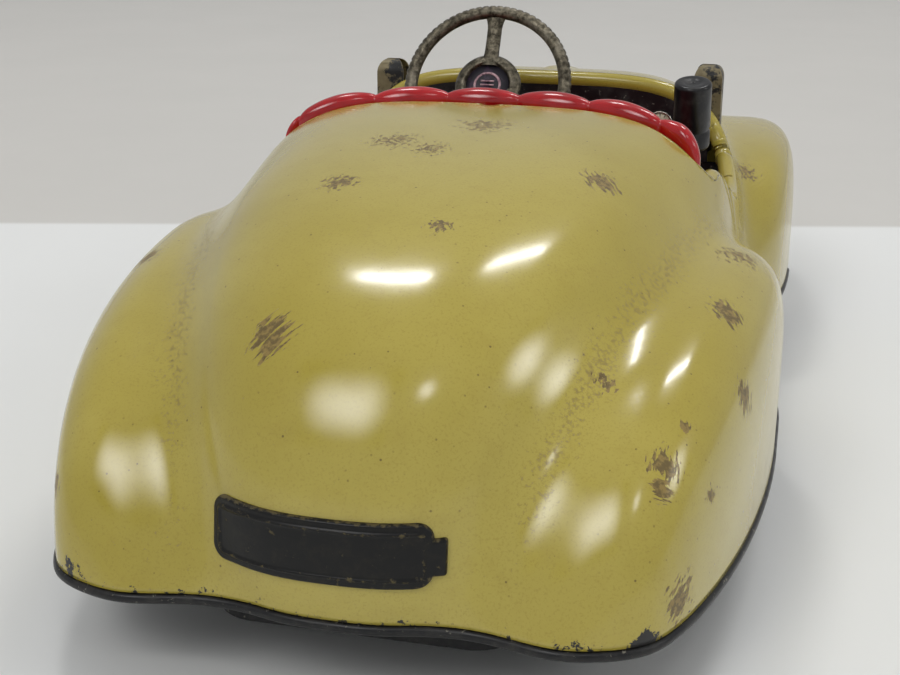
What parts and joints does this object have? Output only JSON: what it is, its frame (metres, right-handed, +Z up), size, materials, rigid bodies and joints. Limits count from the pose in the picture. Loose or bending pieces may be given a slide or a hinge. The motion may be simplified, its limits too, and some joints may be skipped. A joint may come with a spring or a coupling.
{
  "type": "friction tin car",
  "caption": "Small tinplate open roadster with a flowing tail, pontoon fenders, working steering and a flywheel friction drive to the rear wheels.",
  "frame": {"origin": "on the ground under the middle of the car, at the bottom centre of its bounding box", "axes": "+Z up, +Y along the car towards its nose, +X towards the driver's right"},
  "size_m": [0.0628, 0.145, 0.0452],
  "materials": {
    "cream_enamel": "glossy cream-yellow stoved enamel, chipped and scratched",
    "black_enamel": "satin black enamel, worn at the edges",
    "black_worn_brass": "black enamel worn to olive brown metal",
    "red_enamel": "glossy red enamel",
    "cast_pewter": "cast white metal with a dull patina",
    "boss_disc": "dark enamel disc with a plain pale motif",
    "ivory_dials": "ivory dial faces",
    "nickel": "dulled nickel plate",
    "lens_glass": "milky pressed lens",
    "steel": "plain bright steel",
    "brass_gears": "machined brass",
    "flywheel_iron": "turned grey iron",
    "black_tyre": "moulded black rubber"
  },
  "bodies": {
    "body": {"rear_body_shell": "cream_enamel", "front_body_shell": "cream_enamel", "radiator_surround": "nickel", "radiator_bars": "nickel", "headlamp_left": "black_enamel", "headlamp_right": "black_enamel", "headlamp_lens_left": "lens_glass", "headlamp_lens_right": "lens_glass", "rear_plate": "black_enamel", "base_pan": "black_enamel", "base_screws": "steel", "motor_plate_left": "steel", "motor_plate_right": "steel", "motor_pillars": "steel", "front_axle_beam": "steel", "steering_bracket": "steel", "cockpit_tub": "black_enamel", "seat_back": "red_enamel", "seat_cushion": "red_enamel", "dashboard": "black_enamel", "dashboard_dials": "ivory_dials", "lever_bracket": "steel", "lever_pin": "steel", "windscreen_post_left": "black_worn_brass", "windscreen_post_right": "black_worn_brass"},
    "rear_axle": {"rear_axle": "steel", "axle_gear": "brass_gears", "rear_tyre_left": "black_tyre", "rear_hub_left": "nickel", "rear_tyre_right": "black_tyre", "rear_hub_right": "nickel"},
    "lay_shaft": {"lay_shaft": "steel", "lay_pinion": "brass_gears", "lay_gear": "brass_gears"},
    "flywheel": {"flywheel_shaft": "steel", "flywheel_pinion": "brass_gears", "flywheel": "flywheel_iron"},
    "steering": {"steering_wheel": "cast_pewter", "steering_boss_disc": "boss_disc", "steering_column": "steel", "steering_pinion": "brass_gears"},
    "steering_link": {"steering_link": "steel"},
    "knuckle_left": {"knuckle_left": "steel", "axle_cap_left": "nickel"},
    "knuckle_right": {"knuckle_right": "steel", "axle_cap_right": "nickel"},
    "front_wheel_left": {"front_tyre_left": "black_tyre", "front_hub_left": "nickel"},
    "front_wheel_right": {"front_tyre_right": "black_tyre", "front_hub_right": "nickel"},
    "hand_lever": {"hand_lever": "steel", "lever_knob": "black_enamel"}
  },
  "joints": [
    {"name": "rear_axle_spin", "type": "hinge", "parent": "body", "child": "rear_axle", "pos_m": [0, -0.037, 0.011], "axis": [1, 0, 0], "continuous": true},
    {"name": "lay_shaft_spin", "type": "hinge", "parent": "body", "child": "lay_shaft", "pos_m": [0, -0.03151, 0.01754], "axis": [1, 0, 0], "continuous": true},
    {"name": "flywheel_spin", "type": "hinge", "parent": "body", "child": "flywheel", "pos_m": [0, -0.04, 0.02063], "axis": [1, 0, 0], "continuous": true},
    {"name": "steering_wheel_turn", "type": "hinge", "parent": "body", "child": "steering", "pos_m": [-0.0045, 0.002, 0.0367], "axis": [0, -0.8572, 0.515], "range_deg": [-58, 58]},
    {"name": "steering_link_slide", "type": "slide", "parent": "body", "child": "steering_link", "axis": [1, 0, 0], "range_m": [-0.0023, 0.0023]},
    {"name": "knuckle_left_turn", "type": "hinge", "parent": "body", "child": "knuckle_left", "pos_m": [-0.0205, 0.047, 0.011], "axis": [0, 0, 1], "range_deg": [-14, 14]},
    {"name": "knuckle_right_turn", "type": "hinge", "parent": "body", "child": "knuckle_right", "pos_m": [0.0205, 0.047, 0.011], "axis": [0, 0, 1], "range_deg": [-14, 14]},
    {"name": "front_wheel_left_spin", "type": "hinge", "parent": "knuckle_left", "child": "front_wheel_left", "pos_m": [-0.0256, 0.047, 0.011], "axis": [1, 0, 0], "continuous": true},
    {"name": "front_wheel_right_spin", "type": "hinge", "parent": "knuckle_right", "child": "front_wheel_right", "pos_m": [0.0256, 0.047, 0.011], "axis": [1, 0, 0], "continuous": true},
    {"name": "hand_lever_swing", "type": "hinge", "parent": "body", "child": "hand_lever", "pos_m": [0.0192, 0.0066, 0.0202], "axis": [1, 0, 0], "range_deg": [-14, 12]}
  ],
  "couplings": [
    {"joint": "lay_shaft_spin", "follows": "rear_axle_spin", "ratio": -2.4},
    {"joint": "flywheel_spin", "follows": "rear_axle_spin", "ratio": 6.24},
    {"joint": "steering_wheel_turn", "follows": "steering_link_slide", "rad_per_m": 436.7},
    {"joint": "knuckle_left_turn", "follows": "steering_link_slide", "rad_per_m": 102.05},
    {"joint": "knuckle_right_turn", "follows": "steering_link_slide", "rad_per_m": 102.05}
  ]
}
